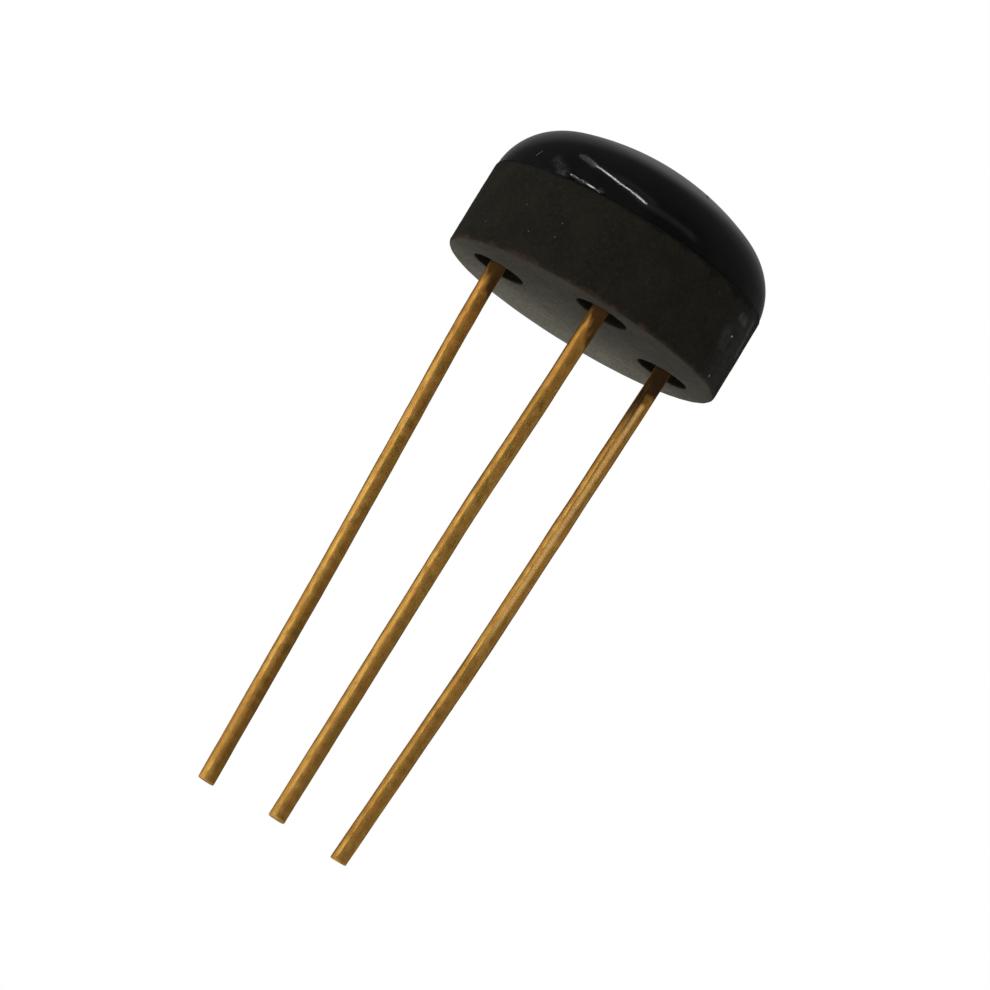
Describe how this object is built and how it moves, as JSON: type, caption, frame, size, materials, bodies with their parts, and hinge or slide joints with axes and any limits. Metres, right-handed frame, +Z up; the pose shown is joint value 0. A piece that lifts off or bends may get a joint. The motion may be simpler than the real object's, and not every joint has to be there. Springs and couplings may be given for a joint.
{
  "type": "round-header transistor",
  "caption": "Small-signal transistor: a round dark ceramic header with a glossy poured black dome and long round gold-plated leads from its underside.",
  "frame": {"origin": "centre of the header's seating face, on the axis of the header", "axes": "+Z up the header's axis, through the dome, so the leads run down; -X to the emitter lead, +X to the collector lead, -Y to the base lead"},
  "size_m": [0.008, 0.008, 0.0196],
  "materials": {
    "header_ceramic": "matte, dark olive brown, unglazed",
    "dome_epoxy": "glossy black poured epoxy",
    "gold_plated_lead": "aged gold plating on a round wire, satin with fine drawing marks",
    "seal_glass": "opaque black glass bead",
    "silicon": "polished opaque silicon",
    "bond_gold": "bright gold wire"
  },
  "bodies": {
    "root": {"header": "header_ceramic", "epoxy_cap": "dome_epoxy", "emitter_lead": "gold_plated_lead", "base_lead": "gold_plated_lead", "collector_lead": "gold_plated_lead", "emitter_seal": "seal_glass", "base_seal": "seal_glass", "collector_seal": "seal_glass", "die": "silicon", "emitter_bond_wire": "bond_gold", "base_bond_wire": "bond_gold"}
  },
  "joints": []
}
